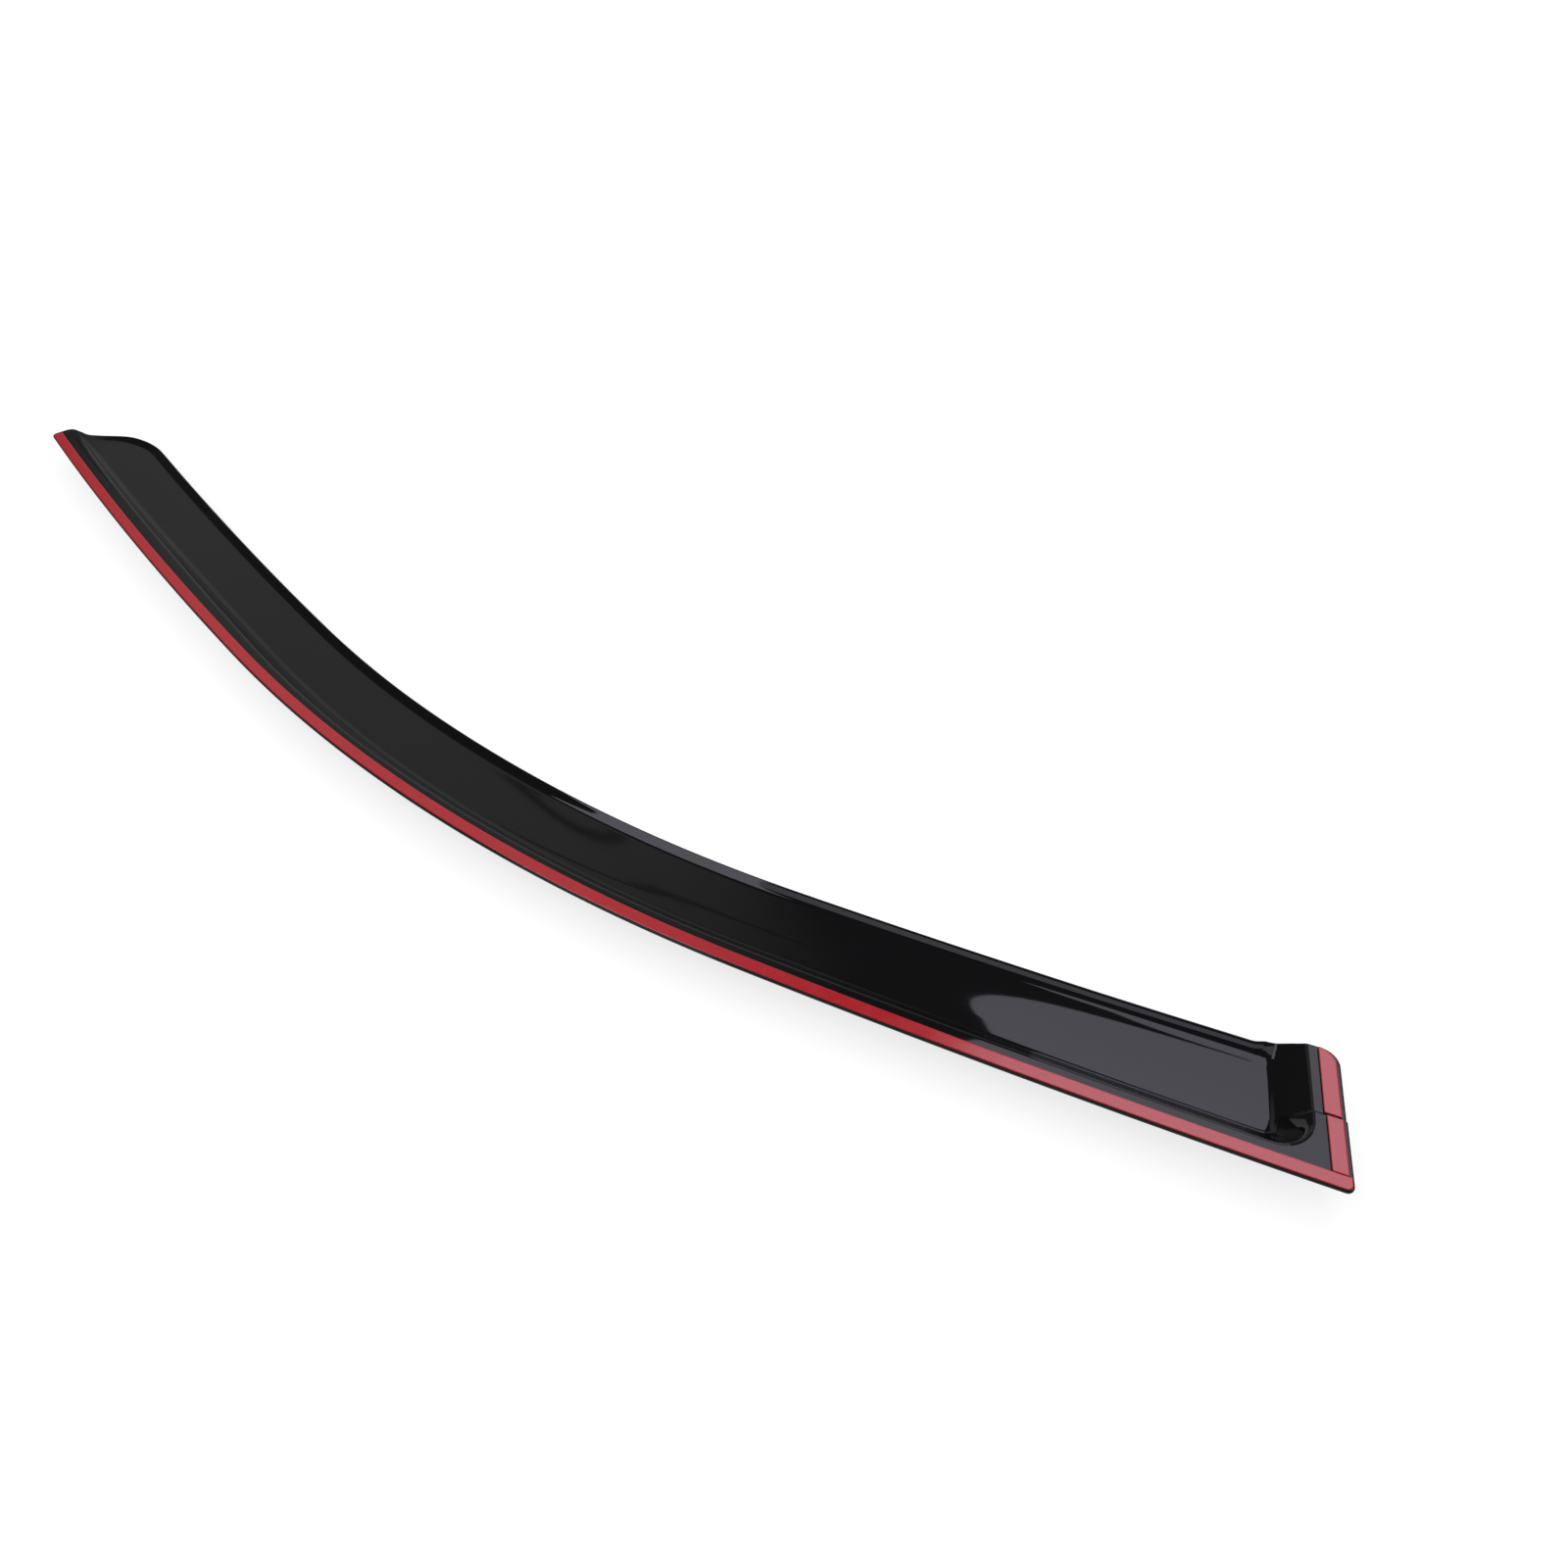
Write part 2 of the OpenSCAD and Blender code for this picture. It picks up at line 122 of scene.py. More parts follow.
# The lamps: middle, point aimed at, width and height, shape and the setting for the brightness
SOFTBOXES = {
    "rear_softbox": ((0.45, 1.45, 2.2), (0.45, 1.45, 0), (1.5, 1.9), 'ELLIPSE', "rear_box"),
    "rear_panel": ((0.45, 2.6, 0.9), (0.45, 0, 0.9), (1.8, 1.6), 'RECTANGLE', "rear_panel"),
    "side_softbox": ((-0.85, -1.2, 2.2), (-0.85, -1.2, 0), (0.9, 1.8), 'RECTANGLE', "side_box"),
    "side_strip": ((0.55, -1.75, 2.2), (0.55, -1.75, 0), (1.9, 0.9), 'RECTANGLE', "side_strip"),
}

# The camera's place, tilt and turn in degrees, and lens
CAMERA_PLACE = (0.485041, -0.368959, 0.571345)
CAMERA_TILT = 44.4
CAMERA_TURN = 37.6405
CAMERA_LENS = 31.5
CAMERA_SENSOR = 36.0


def length(name, size, note):
    """A length property, given in millimetres."""
    return FloatProperty(name=name, description=note, default=size * MM, min=0.0,
                         unit='LENGTH', precision=5)


def slant(name, size, note):
    """An angle property, given in degrees."""
    return FloatProperty(name=name, description=note, default=math.radians(size), subtype='ANGLE')


def share(name, size, note, most=1.0):
    """A plain number property."""
    return FloatProperty(name=name, description=note, default=size, min=0.0, max=most, precision=4)


def colour(name, value, note):
    """A colour property, in linear values."""
    return FloatVectorProperty(name=name, description=note, default=value, size=3,
                               subtype='COLOR', min=0.0, max=1.0)


class DeflectorShellSizes(bpy.types.PropertyGroup):
    front_len: length("Front length", 320, "Length of the nearly straight front stretch")
    front_r: length("Front radius", 3800, "Radius of the front stretch")
    mid_len: length("Middle length", 403, "Length of the bent middle stretch")
    mid_r: length("Middle radius", 1030, "Radius of the middle stretch")
    rear_len: length("Rear length", 299.7, "Length of the nearly straight rear stretch")
    rear_r: length("Rear radius", 5100, "Radius of the rear stretch")
    sheet_t: length("Sheet thickness", 2, "Thickness of the sheet")
    trough_depth: length("Trough depth", 17.3, "Height of the flange over the trough floor")
    edge_ease: length("Edge easing", 0.6, "Radius of the eased cut edge")
    tape_margin: length("Tape margin", 0.4, "Bare flange outside the long tape")
    front_w: length("Front width", 57, "Width of the shell near the front")
    mid_w: length("Middle width", 63.5, "Width of the shell halfway along")
    rear_w: length("Rear width", 71.4, "Width of the shell at the rear")
    tab_reach: length("Tab reach", 1.5, "Distance by which the rear tab reaches past the lip")
    tab_rise: length("Tab rise", 9, "Length over which the shell widens to the rear tab")
    flange_front: length("Front flange", 14.3, "Flange width near the front")
    flange_mid: length("Middle flange", 10.8, "Flange width in the bend")
    flange_rear: length("Rear flange", 12.1, "Flange width along the rear stretch")
    narrow_from: length("Narrows from", 170, "Where the flange starts to narrow")
    narrow_to: length("Narrows to", 460, "Where the flange has its width of the bend")
    widen_from: length("Widens from", 600, "Where the flange starts to widen again")
    widen_to: length("Widens to", 900, "Where the flange has its rear width")
    flange_tip: length("Tip flange", 2.6, "Extra flange width at the front tip")
    flange_fade: length("Tip fade", 30, "Distance over which that extra width fades")
    tip_land: length("Tip land", 4, "Least width that the tip keeps inside the flange")
    end_flange: length("End flange", 14.5, "Width of the rear flange, up to the end wall")
    wall_slope: slant("Wall slope", 57, "Slope of the step wall along the front and the bend")
    end_slope: slant("End slope", 52.5, "Slope of the step wall along the rear and of the end wall")
    slope_from: length("Slope from", 450, "Where the slope starts to change")
    slope_to: length("Slope to", 750, "Where the wall has its rear slope")
    shoulder_r: length("Shoulder radius", 3, "Radius of the rounded top of the step")
    foot_r: length("Foot radius", 6, "Radius of the hollow at the foot of the step")
    corner_r: length("Trough corner", 21, "Radius of the trough's inner rear corner")
    tip_depth: length("Tip depth", 6.2, "Depth that the trough reaches close behind the tip")
    tip_fade: length("Depth fade", 25, "Distance over which it reaches that depth")
    trough_start: length("Trough start", 5, "Where the trough begins")
    deepen_fade: length("Deepening", 40, "Distance over which the rest of the depth sets in")
    full_depth_at: length("Full depth", 430, "Where the trough is at its full depth")
    floor_rise: length("Floor rise", 3.8, "Rise of the floor towards the lip at the rear")
    rise_from: length("Rise from", 560, "Where the floor starts to rise")
    rise_to: length("Rise to", 980, "Where the floor has its full rise")
    lip_w: length("Lip width", 6.2, "Width of the turned-up lip")
    lip_slope: slant("Lip slope", 36, "Slope of the lip")
    lip_r: length("Lip bend", 5, "Radius of the bend between floor and lip")
    lip_fade: length("Lip fade", 45, "Distance over which the lip sets in at the front")
    nose: length("Nose", 5.1, "Length of flange in front of the edge curve")
    nose_w: length("Nose width", 15, "Width of the nose")
    nose_r: length("Nose radius", 3.5, "Radius of the nose's outer corner")
    nose_inner_r: length("Nose inner radius", 4, "Radius of the nose's inner corner")
    notch_at: length("Notch place", 9, "Distance of the notch behind the front")
    notch_w: length("Notch width", 21, "Width of the shell at the notch")
    notch_r: length("Notch radius", 14, "Radius of the notch")
    shoulder_at: length("Front shoulder", 36.3, "Distance of the front shoulder behind the front")
    front_corner_r: length("Front shoulder radius", 50, "Radius of the front shoulder")
    rear_lean: slant("Rear lean", 12.1, "Lean of the rear edge")
    lean_reach: length("Lean reach", 110, "Length over which the stations turn to that lean")
    rear_corner_r: length("Rear corner", 4, "Radius of the rear corner of the flange")
    tab_r: length("Tab radius", 8, "Radius of the rear tab's free corner")
    joggle_at: length("Joggle place", 35.7, "Distance of the joggle from the tape edge")
    joggle_w: length("Joggle width", 1.6, "Width of the joggle's slope")
    joggle_drop: length("Joggle drop", 1.4, "Drop of the rear flange past the joggle")


class DeflectorTapeSizes(bpy.types.PropertyGroup):
    tape_w: length("Tape width", 6.6, "Width of the long tape")
    corner_w: length("Corner tape width", 7.3, "Width of the tape at the rear corner")
    end_w: length("End tape width", 7.8, "Width of the tape on the rear tab")
    front_margin: length("Front margin", 3, "Bare flange in front of the long tape")
    rear_margin: length("Rear margin", 1.6, "Bare flange behind the two rear tapes")
    foam_t: length("Foam thickness", 1, "Thickness of the foam")
    liner_t: length("Film thickness", 0.2, "Thickness of the peel-off film")
    gap: length("Tape gap", 0.3, "Gap between neighbouring tapes")
    corner_r: length("Tape corner", 0.3, "Radius of the tapes' cut corners")
    film_roll: length("Film roll", 0.5, "Width over which the film's cut edge rolls down")
    film_drop: length("Film drop", 0.16, "Drop of the film's cut edge")
    foam_tuck: length("Foam tuck", 0.08, "Distance by which the foam's cut side hollows in")


class DeflectorColours(bpy.types.PropertyGroup):
    shell: colour("Shell", (0.0042, 0.0043, 0.0048), "Black of the formed acrylic sheet")
    film: colour("Film", (0.40, 0.013, 0.019), "Red of the peel-off film")
    film_deep: colour("Film, deep", (0.35, 0.009, 0.014), "Darker red in the film's fine weave of marks")
    foam: colour("Foam", (0.022, 0.022, 0.024), "Dark grey of the foam's cut side")
    shell_gloss: share("Shell roughness", 0.035, "Roughness of the polished sheet")
    film_gloss: share("Film roughness", 0.14, "Roughness of the film")


class DeflectorStudio(bpy.types.PropertyGroup):
    tint: colour("Softbox tint", (0.88, 0.86, 1.0), "Cool cast of the softboxes")
    rear_box: share("Rear softbox", 1.82, "Brightness of the round softbox over the rear end", 20)
    rear_panel: share("Rear panel", 0.9, "Brightness of the low panel past the rear end", 20)
    side_box: share("Side softbox", 2.2, "Brightness of the box past the front end, on the taped side", 20)
    side_strip: share("Side strip", 1.1, "Brightness of the strip past the rear end, on the taped side", 20)
    ceiling: share("Grey ceiling", 0.3, "Brightness of the lit stretch of ceiling in reflections", 5)
    wall: share("Grey wall", 0.3, "Brightness of the lit stretch of wall in reflections", 5)
    room: share("Room in reflections", 0.06, "Brightness of the dark studio in reflections", 5)
    fill: share("Fill", 0.8, "Even light from all round", 5)


def deselect():
    """Leaves object mode with nothing selected, because the loaded frame is still selected."""
    if bpy.context.object and bpy.context.object.mode != 'OBJECT':
        bpy.ops.object.mode_set(mode='OBJECT')
    bpy.ops.object.select_all(action='DESELECT')


def ramp(t):
    """Soft rise from 0 to 1 as t runs from 0 to 1."""
    c = min(1.0, max(0.0, t))
    return c * c * (3 - 2 * c)


def ramp_between(x, a, b):
    return ramp((x - a) / (b - a))


def mix(a, b, t):
    return a + (b - a) * t


def spread(a, b, step):
    """Evenly spaced values from a up to b, with b left out."""
    count = max(1, math.ceil((b - a) / step))
    return [mix(a, b, i / count) for i in range(count)]


def corner_arc(a, b, c, r, steps):
    """Points of the arc of radius r that rounds the corner b between a and c."""
    a, b, c = Vector(a), Vector(b), Vector(c)
    u, v = (a - b).normalized(), (c - b).normalized()
    half = math.acos(u.dot(v)) / 2
    middle = b + (u + v).normalized() * r / math.sin(half)
    first, last = b + u * r / math.tan(half) - middle, b + v * r / math.tan(half) - middle
    a0 = math.atan2(first.y, first.x)
    turn = (math.atan2(last.y, last.x) - a0 + math.pi) % (2 * math.pi) - math.pi
    angles = [a0 + turn * i / steps for i in range(steps + 1)]
    return [(middle.x + r * math.cos(angle), middle.y + r * math.sin(angle)) for angle in angles]


def to_disc(a, b):
    """Point of the unit disc for a point of the unit square round it."""
    return a * math.sqrt(1 - b * b / 2), b * math.sqrt(1 - a * a / 2)


class SheetForm:
    """Places on the formed sheet, laid out along its tape edge as in the solid: s runs along
    that edge from the front, and n inwards from it."""

    def __init__(self, scene):
        self.z = z = scene.deflector_shell
        self.tape = scene.deflector_tape
        self.length = z.front_len + z.mid_len + z.rear_len
        self.mid_a = z.front_len / z.front_r
        self.rear_a = self.mid_a + z.mid_len / z.mid_r
        self.mid_p = self.swing(0, self.mid_a, z.front_r)
        self.rear_p = self.mid_p + self.swing(self.mid_a, self.rear_a, z.mid_r)
        end = self.rear_p + self.swing(self.rear_a, self.rear_a + z.rear_len / z.rear_r, z.rear_r)
        self.turn = math.atan2(end.y, end.x)
        self.flange_z = z.sheet_t + z.trough_depth
        self.lip_arc = z.lip_r * math.sin(z.lip_slope)
        notch, shoulder = (z.notch_at, z.notch_w), (z.shoulder_at, self.plain_width(z.shoulder_at))
        past, nose = (2 * z.shoulder_at, self.plain_width(2 * z.shoulder_at)), (-z.nose, z.nose_w)
        self.front_line = ([nose] + corner_arc(nose, notch, shoulder, z.notch_r, BEND_STEPS)
                           + corner_arc(notch, shoulder, past, z.front_corner_r, BEND_STEPS))
        self.front_end = self.front_line[-1][0]
        self.tab_from = self.rear_line(z.rear_w) - z.end_flange - z.tab_rise
        wall = self.step_places(z.trough_depth, z.end_slope)
        self.wall_stations = [self.length - (z.end_flange + x) / math.cos(z.rear_lean)
                              for x in reversed(wall)]
        self.rear_foot = z.flange_rear + self.foot_end(z.trough_depth, z.end_slope)
        flat = self.width(self.length) - z.edge_ease - z.lip_w - self.rear_foot
        joggle = [z.joggle_at + z.joggle_w * mix(-JOGGLE_REACH, JOGGLE_REACH, i / JOGGLE_LINES)
                  for i in range(JOGGLE_LINES + 1)]
        self.joggle_shares = [(n - self.rear_foot) / flat for n in joggle]
        self.home = self.middle()

    @staticmethod
    def swing(a, b, r):
        return Vector((r * (math.sin(b) - math.sin(a)), r * (math.cos(a) - math.cos(b))))

    def edge_angle(self, s):
        z = self.z
        if s < z.front_len:
            return s / z.front_r
        if s < z.front_len + z.mid_len:
            return self.mid_a + (s - z.front_len) / z.mid_r
        return self.rear_a + (s - z.front_len - z.mid_len) / z.rear_r

    def chart(self, s, n):
        """Place of a point s along the tape edge and n inwards from it."""
        z, a = self.z, self.edge_angle(s)
        if s < z.front_len:
            p = self.swing(0, a, z.front_r)
        elif s < z.front_len + z.mid_len:
            p = self.mid_p + self.swing(self.mid_a, a, z.mid_r)
        else:
            p = self.rear_p + self.swing(self.rear_a, a, z.rear_r)
        p = p + n * Vector((-math.sin(a), math.cos(a)))
        c, k = math.cos(self.turn), math.sin(self.turn)
        return Vector((p.x * c + p.y * k, p.y * c - p.x * k))

    def rear_line(self, n):
        return self.length - n * math.tan(self.z.rear_lean)

    def from_rear(self, s, n):
        return (self.rear_line(n) - s) * math.cos(self.z.rear_lean)

    def plain_width(self, s):
        z, t = self.z, s / self.length
        pull = 2 * z.mid_w - (z.front_w + z.rear_w) / 2
        return (1 - t) ** 2 * z.front_w + 2 * t * (1 - t) * pull + t * t * z.rear_w

    def width(self, s):
        if s < self.front_end:
            return float(np.interp(s, [p[0] for p in self.front_line], [p[1] for p in self.front_line]))
        return self.plain_width(s) + self.z.tab_reach * ramp((s - self.tab_from) / self.z.tab_rise)

    def flange(self, s):
        z = self.z
        front = mix(z.flange_front, z.flange_mid, ramp_between(s, z.narrow_from, z.narrow_to))
        plain = mix(front, z.flange_rear, ramp_between(s, z.widen_from, z.widen_to))
        extra = z.flange_tip * math.exp(-max(0, s) / z.flange_fade)
        return min(plain + extra, self.width(s) - z.tip_land)

    def depth(self, s):
        z = self.z
        x = max(0, s - z.trough_start)
        rest = (z.trough_depth - z.tip_depth) * ramp(s / z.full_depth_at) * ramp(x / z.deepen_fade)
        return max(TINY, z.tip_depth * (1 - math.exp(-x / z.tip_fade)) + rest)

    def slope(self, s):
        z = self.z
        return mix(z.wall_slope, z.end_slope, ramp_between(s, z.slope_from, z.slope_to))

    def step_k(self, d, a):
        return min(1, BEND_SHARE * d / ((self.z.shoulder_r + self.z.foot_r) * (1 - math.cos(a))))

    def foot_end(self, d, a):
        return d / math.tan(a) + self.z.foot_r * self.step_k(d, a) * math.tan(a / 2)

    def step_bends(self, d, a):
        """Radii of shoulder and foot, length of the shoulder's tangent and end of the foot."""
        k = self.step_k(d, a)
        rs, rf = self.z.shoulder_r * k, self.z.foot_r * k
        return rs, rf, rs * math.tan(a / 2), self.foot_end(d, a)

    def step_depth(self, x, d, a):
        rs, rf, ts, end = self.step_bends(d, a)
        if x <= -ts:
            return 0
        if x < -ts + rs * math.sin(a):
            return rs - math.sqrt(rs * rs - (x + ts) ** 2)
        if x < end - rf * math.sin(a):
            return x * math.tan(a)
        if x < end:
            return d - rf + math.sqrt(rf * rf - (end - x) ** 2)
        return d

    def step_places(self, d, a):
        rs, rf, ts, end = self.step_bends(d, a)
        x0, x1 = -ts + rs * math.sin(a), end - rf * math.sin(a)
        return ([-ts + rs * math.sin(a * i / ARC_LINES) for i in range(ARC_LINES + 1)]
                + [mix(x0, x1, i / (WALL_LINES + 1)) for i in range(1, WALL_LINES + 1)]
                + [end - rf * math.sin(a * (1 - i / ARC_LINES)) for i in range(ARC_LINES + 1)])

    def lip_rise(self, g):
        z = self.z
        x = z.lip_w - g
        if x <= 0:
            return 0
        if x < self.lip_arc:
            return z.lip_r - math.sqrt(z.lip_r ** 2 - x * x)
        return z.lip_r * (1 - math.cos(z.lip_slope)) + (x - self.lip_arc) * math.tan(z.lip_slope)

    def inside(self, s, n):
        """Distance inside the trough's top outline, whose rear corner is round."""
        r = self.z.corner_r
        a, b = n - self.flange(s), self.from_rear(s, n) - self.z.end_flange
        if a < r and b < r:
            return r - math.hypot(r - a, r - b)
        return min(a, b)

    def top_depth(self, s, n):
        """Depth of the sheet's top face under the flange plane."""
        z = self.z
        d = self.depth(s)
        base = self.step_depth(self.inside(s, n), d, self.slope(s)) / d
        drop = z.joggle_drop * ramp((n - z.joggle_at) / z.joggle_w + 0.5)
        w = self.width(s)
        lean = (self.width(s + MM) - self.width(s - MM)) / (2 * MM)
        lip = self.lip_rise((w - n) / math.hypot(1, lean)) * ramp((s - z.trough_start) / z.lip_fade)
        floor_x = min(1, max(0, (n - w / 2) / (w / 2 - z.lip_w)))
        rise = z.floor_rise * ramp_between(s, z.rise_from, z.rise_to) * floor_x ** 2
        return drop + base * (d - drop - min(lip + rise, LIP_RISE_SHARE * d))

    def stations(self):
        z, walls = self.z, self.wall_stations
        return (spread(-z.nose, z.notch_at, NOSE_STEP)
                + spread(z.notch_at, self.front_end, FRONT_STEP)
                + spread(self.front_end, walls[0] - STATION, STATION)
                + spread(walls[0] - STATION, walls[0], REAR_STEP)
                + walls + spread(walls[-1] + REAR_STEP / 2, self.length, REAR_STEP) + [self.length])

    def lines(self, s):
        z = self.z
        w, f = self.width(s) - z.edge_ease, self.flange(s)
        d, a = max(LEAST_STEP, self.depth(s)), self.slope(s)
        foot = f + self.foot_end(d, a)
        lip = min(z.lip_w, (w - foot) * LIP_SHARE)
        flat = w - lip - foot
        first = z.edge_ease - z.tape_margin
        corner = z.rear_corner_r - z.edge_ease
        last_joggle = self.joggle_shares[-1]
        return ([first + corner * i / EDGE_LINES for i in range(EDGE_LINES + 1)] + [self.tape.tape_w]
                + [f + x for x in self.step_places(d, a)]
                + [foot + flat * p for p in self.joggle_shares]
                + [foot + flat * mix(last_joggle, 1, i / FLOOR_LINES) for i in range(1, FLOOR_LINES + 1)]
                + [w - lip * (1 - i / LIP_LINES) for i in range(1, LIP_LINES + 1)])

    def round_corners(self, u, n):
        """Draws the four corners of the sheet round, as a square is drawn to a disc."""
        z = self.z
        g, first = self.width(u) - z.edge_ease - n, z.edge_ease - z.tape_margin
        for from_end, end_side, from_side, side, r in (
                (u + z.nose, 1, n - first, 1, z.nose_r),
                (u + z.nose, 1, g, -1, z.nose_inner_r),
                (self.length - u, -1, n - first, 1, z.rear_corner_r),
                (self.length - u, -1, g, -1, z.tab_r)):
            r -= z.edge_ease
            if from_end < r and from_side < r:
                a, b = 1 - from_end / r, 1 - from_side / r
                pulled_a, pulled_b = to_disc(a, b)
                u2, n2 = u + end_side * r * (a - pulled_a), n + side * r * (b - pulled_b)
                return (u2, n2) if side > 0 else (u2, n2 + self.width(u2) - self.width(u))
        return u, n

    def place(self, u, n):
        """Point of the top face. Stations turn to the rear edge's lean as they near it."""
        z = self.z
        lean = math.tan(z.rear_lean) * ramp((u - self.wall_stations[0]) / z.lean_reach + 1)
        u2, n2 = self.round_corners(u, n)
        p = self.chart(u2 - n2 * lean, n2)
        return (p.x, p.y, self.flange_z - self.top_depth(u - n * lean, n))

    def middle(self):
        """Middle of the footprint, found from where the solid's long tape lies."""
        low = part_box("top_tape_liner")[0]
        r = self.z.nose_r - self.tape.front_margin
        tip = self.chart(r - self.z.nose + self.tape.front_margin, r).x - r
        lowest = min(self.chart(s, 0).y for s in spread(0, self.length, STATION))
        return np.array((tip - low.x, lowest - low.y, 0))


def closed_sheet(name, top, low, normal, rings):
    """A thin solid between two grids of points. A grid primitive takes the top face's places, a
    copy of it the underside's, and the rim is extruded from one to the other in rings."""
    rows, cols = top.shape[:2]
    deselect()
    bpy.ops.mesh.primitive_grid_add(x_subdivisions=rows - 1, y_subdivisions=cols - 1, size=2)
    sheet = bpy.context.object
    sheet.name = sheet.data.name = name
    bm = bmesh.new()
    bm.from_mesh(sheet.data)
    # Each vertex keeps its place in the grid, so that what is extruded from it finds its own
    kept = bm.verts.layers.int.new("grid_place")
    for v in bm.verts:
        i = round((v.co.x + 1) / 2 * (rows - 1))
        j = round((v.co.y + 1) / 2 * (cols - 1))
        v[kept] = i * cols + j
        v.co = top[i, j]
    whole = bm.verts[:] + bm.edges[:] + bm.faces[:]
    rim_edges = [e for e in bm.edges if e.is_boundary]
    under = bmesh.ops.duplicate(bm, geom=whole)["geom"]
    for v in (g for g in under if isinstance(g, bmesh.types.BMVert)):
        v.co = low[divmod(v[kept], cols)]
    bmesh.ops.reverse_faces(bm, faces=[g for g in under if isinstance(g, bmesh.types.BMFace)])
    # Way outwards from each point of the rim, square to the sheet and to the cut edge
    rim = ([(i, 0) for i in range(rows - 1)] + [(rows - 1, j) for j in range(cols - 1)]
           + [(i, cols - 1) for i in range(rows - 1, 0, -1)] + [(0, j) for j in range(cols - 1, 0, -1)])
    outwards = {}
    for k, g in enumerate(rim):
        side = np.cross(top[rim[(k + 1) % len(rim)]] - top[rim[k - 1]], normal[g])
        outwards[g[0] * cols + g[1]] = side / np.linalg.norm(side)
    for out, way in rings:
        made = bmesh.ops.extrude_edge_only(bm, edges=rim_edges)["geom"]
        fresh = {g for g in made if isinstance(g, bmesh.types.BMVert)}
        rim_edges = [g for g in made if isinstance(g, bmesh.types.BMEdge) and set(g.verts) <= fresh]
        for v in fresh:
            g = divmod(v[kept], cols)
            v.co = mix(top[g], low[g], way) + out * outwards[v[kept]]
    bmesh.ops.remove_doubles(bm, verts=bm.verts, dist=MERGE_DISTANCE)
    bmesh.ops.recalc_face_normals(bm, faces=bm.faces)
    bm.verts.layers.int.remove(bm.verts.layers.int["grid_place"])
    bm.to_mesh(sheet.data)
    bm.free()
    return sheet


def finished(piece, node, finish):
    """Gives a piece its finish and sets it in its solid's place."""
    piece.data.materials.clear()
    piece.data.materials.append(finish)
    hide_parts(node)
    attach(piece, "root")


class DEFLECTOR_OT_shell(bpy.types.Operator):
    """Forms the gloss black sheet, with a rounded rim drawn down to its underside"""
    bl_idname = "deflector.shell"
    bl_label = "Formed Sheet"

    def execute(self, context):
        z = context.scene.deflector_shell
        form = SheetForm(context.scene)
        top = np.array([[form.place(u, n) for n in form.lines(u)] for u in form.stations()]) - form.home
        normal = np.cross(np.gradient(top, axis=0), np.gradient(top, axis=1))
        for corner in ((0, 0), (0, -1), (-1, 0), (-1, -1)):
            normal[corner] = (0, 0, 1)
        normal /= np.linalg.norm(normal, axis=2, keepdims=True)
        ease = z.edge_ease
        turns = [math.pi / 2 * k / RIM_RINGS for k in range(1, RIM_RINGS + 1)]
        rings = [(ease * math.sin(turn), ease * (1 - math.cos(turn)) / z.sheet_t) for turn in turns]
        rings += [(out, 1 - way) for out, way in reversed(rings)] + [(0.0, 1.0)]
        sheet = closed_sheet("formed_sheet", top, top - z.sheet_t * normal, normal, rings)
        bpy.ops.object.shade_smooth()
        finished(sheet, "visor", acrylic(context.scene.deflector_colours))
        return {'FINISHED'}


def tape_outlines(form, tape):
    """The three tapes by name: length, width, corner radii, a map from tape to sheet, and the
    drop of their seat."""
    z = form.z
    lean = math.cos(z.rear_lean)
    start, small = tape.front_margin - z.nose, tape.corner_r
    end = [form.rear_line(n) - z.tape_margin / lean for n in (0, tape.tape_w)]
    across = z.joggle_w / 2 + tape.gap / 2
    long_to = end[0] - start
    near, far = tape.tape_w + tape.gap, z.joggle_at + across
    tab_to = form.width(form.length) - z.tape_margin - z.edge_ease

    def along(a, b):
        return form.chart(start + a * (mix(end[0], end[1], b / tape.tape_w) - start) / long_to, b)

    def at_rear(e, n):
        return form.chart(form.rear_line(n) - e / lean, n)

    top_radii = (max(small, z.nose_r - tape.front_margin), z.rear_corner_r - z.tape_margin,
                 small, small)
    tab_radii = (small, z.tab_r - z.tape_margin - z.edge_ease, small, small)
    return {
        "top_tape": (long_to, tape.tape_w, top_radii, along, 0.0),
        "rear_corner": (z.joggle_at - across - near, tape.corner_w, (small,) * 4,
                        lambda a, b: at_rear(tape.rear_margin + b, near + a), 0.0),
        "rear_end": (tab_to - far, tape.end_w, tab_radii,
                     lambda a, b: at_rear(tape.rear_margin + b, far + a), z.joggle_drop),
    }


def strip_places(whole, fine, step):
    """Places over a length, with the given fine ones at both ends and even steps between."""
    inner = spread(fine[-1], whole - fine[-1], step)
    return sorted(set(fine[:-1]) | set(inner) | {whole - x for x in fine})


